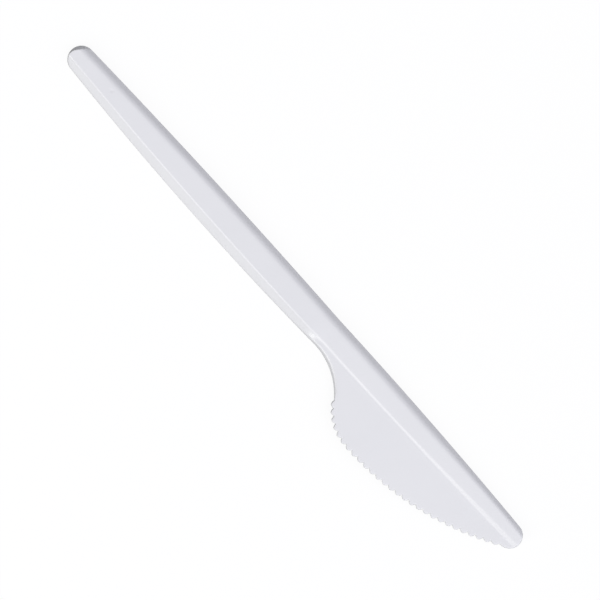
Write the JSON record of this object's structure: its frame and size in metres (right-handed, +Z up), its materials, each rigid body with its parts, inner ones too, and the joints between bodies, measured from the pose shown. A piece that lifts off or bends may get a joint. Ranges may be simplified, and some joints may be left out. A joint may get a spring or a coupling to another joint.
{
  "type": "disposable table knife",
  "caption": "Moulded plastic table knife with a hollow-backed tapering handle, a raised band along the back of the blade and a fine serrated edge.",
  "frame": {"origin": "middle of the bounding box in plan, at the level of the rims that the knife lies on", "axes": "+X from the end of the handle to the tip of the blade, +Y towards the back of the blade, +Z up out of the smooth face"},
  "size_m": [0.165, 0.021, 0.003],
  "materials": {
    "white_polystyrene": "smooth moulded gloss, slightly bluish white"
  },
  "bodies": {
    "root": {"knife": "white_polystyrene"}
  },
  "joints": []
}
